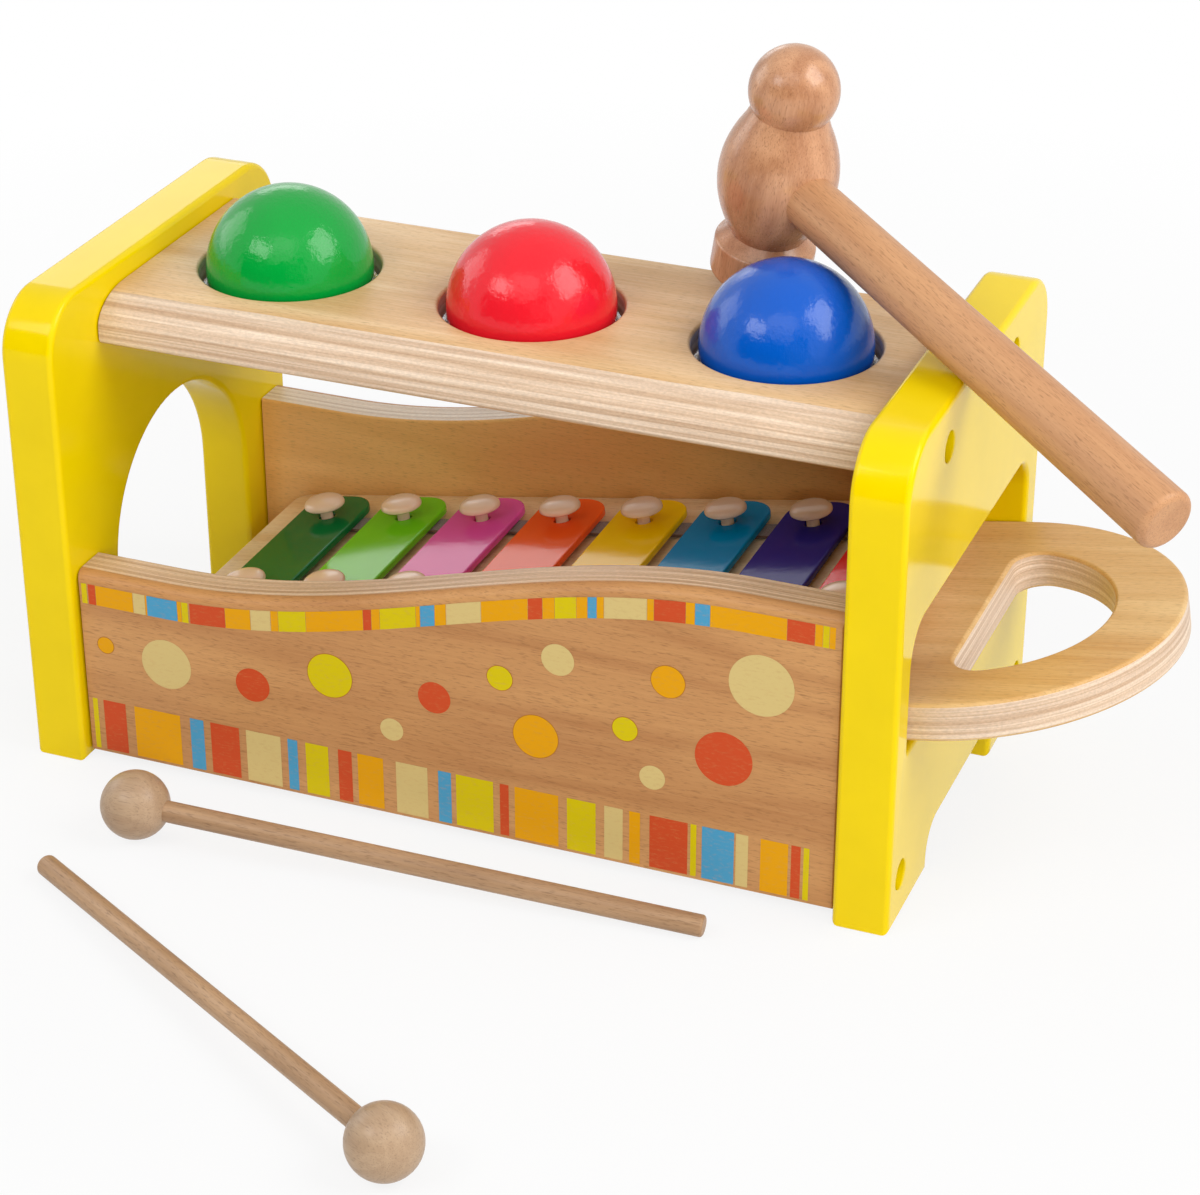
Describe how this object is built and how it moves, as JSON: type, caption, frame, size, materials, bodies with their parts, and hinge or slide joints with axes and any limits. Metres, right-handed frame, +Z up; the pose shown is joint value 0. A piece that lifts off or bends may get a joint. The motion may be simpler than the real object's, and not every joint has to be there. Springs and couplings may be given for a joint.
{
  "type": "ball pounding bench with xylophone",
  "caption": "Wooden pounding toy: balls hammered through a top board drop onto a sloping slide-out xylophone and roll out of an arch; with hammer and mallets.",
  "frame": {"origin": "on the floor, under the middle of the whole set's bounding box", "axes": "+X along the bench towards the end that the xylophone slides out of, +Y towards the back, +Z up"},
  "size_m": [0.308, 0.2698, 0.1972],
  "materials": {
    "yellow_paint": "satin yellow paint on wood",
    "birch_plywood": "clear satin lacquer",
    "red_wood": "clear satin lacquer with printed stripes and dots",
    "green_lacquer": "glossy green lacquer",
    "red_lacquer": "glossy red lacquer",
    "blue_lacquer": "glossy blue lacquer",
    "clear_plastic": "clear, flexible",
    "dark_green_enamel": "glossy enamel",
    "light_green_enamel": "glossy enamel",
    "magenta_enamel": "glossy enamel",
    "orange_enamel": "glossy enamel",
    "yellow_enamel": "glossy enamel",
    "teal_enamel": "glossy enamel",
    "navy_enamel": "glossy enamel",
    "red_enamel": "glossy enamel",
    "pin_plastic": "glossy",
    "screw_steel": "zinc plated",
    "pale_wood": "smooth turned wood",
    "felt": "felt",
    "hammer_wood": "clear satin lacquer"
  },
  "bodies": {
    "bench": {"left_side_panel": "yellow_paint", "right_side_panel": "yellow_paint", "top_board": "birch_plywood", "front_panel": "red_wood", "rear_panel": "red_wood", "ball_ring_green": "clear_plastic", "ball_ring_red": "clear_plastic", "ball_ring_blue": "clear_plastic", "screw_left_board_front": "screw_steel", "screw_left_board_rear": "screw_steel", "screw_left_front_panel": "screw_steel", "screw_left_rear_panel": "screw_steel", "screw_right_board_front": "screw_steel", "screw_right_board_rear": "screw_steel", "screw_right_front_panel": "screw_steel", "screw_right_rear_panel": "screw_steel", "dowel_left_front": "pale_wood", "dowel_left_rear": "pale_wood", "dowel_right_front": "pale_wood", "dowel_right_rear": "pale_wood"},
    "xylophone": {"xylophone_slide_board": "birch_plywood", "xylophone_bar_board": "birch_plywood", "felt_front": "felt", "felt_rear": "felt", "tray_screw_left": "screw_steel", "tray_screw_right": "screw_steel", "bar_1": "dark_green_enamel", "bar_2": "light_green_enamel", "bar_3": "magenta_enamel", "bar_4": "orange_enamel", "bar_5": "yellow_enamel", "bar_6": "teal_enamel", "bar_7": "navy_enamel", "bar_8": "red_enamel", "pin_front_1": "pin_plastic", "pin_front_2": "pin_plastic", "pin_front_3": "pin_plastic", "pin_front_4": "pin_plastic", "pin_front_5": "pin_plastic", "pin_front_6": "pin_plastic", "pin_front_7": "pin_plastic", "pin_front_8": "pin_plastic", "pin_rear_1": "pin_plastic", "pin_rear_2": "pin_plastic", "pin_rear_3": "pin_plastic", "pin_rear_4": "pin_plastic", "pin_rear_5": "pin_plastic", "pin_rear_6": "pin_plastic", "pin_rear_7": "pin_plastic", "pin_rear_8": "pin_plastic"},
    "green_ball": {"ball_green": "green_lacquer"},
    "red_ball": {"ball_red": "red_lacquer"},
    "blue_ball": {"ball_blue": "blue_lacquer"},
    "hammer": {"hammer_head": "hammer_wood", "hammer_handle": "hammer_wood"},
    "mallet_1": {"mallet_1_ball": "pale_wood", "mallet_1_stick": "pale_wood"},
    "mallet_2": {"mallet_2_ball": "pale_wood", "mallet_2_stick": "pale_wood"}
  },
  "joints": [
    {"name": "green_ball_drop", "type": "slide", "parent": "bench", "child": "green_ball", "axis": [0, 0, 1], "range_m": [-0.0635, 0], "deforming": ["ball_ring_green"]},
    {"name": "red_ball_drop", "type": "slide", "parent": "bench", "child": "red_ball", "axis": [0, 0, 1], "range_m": [-0.0513, 0], "deforming": ["ball_ring_red"]},
    {"name": "blue_ball_drop", "type": "slide", "parent": "bench", "child": "blue_ball", "axis": [0, 0, 1], "range_m": [-0.0391, 0], "deforming": ["ball_ring_blue"]},
    {"name": "xylophone_slide", "type": "slide", "parent": "bench", "child": "xylophone", "axis": [0.9854, 0, 0.1702], "range_m": [0, 0.225]},
    {"name": "hammer_lift", "type": "slide", "parent": "bench", "child": "hammer", "axis": [0, 0, 1], "range_m": [0, 0.12]},
    {"name": "mallet_1_lift", "type": "slide", "parent": "bench", "child": "mallet_1", "axis": [0, 0, 1], "range_m": [0, 0.1]},
    {"name": "mallet_2_lift", "type": "slide", "parent": "bench", "child": "mallet_2", "axis": [0, 0, 1], "range_m": [0, 0.1]}
  ]
}
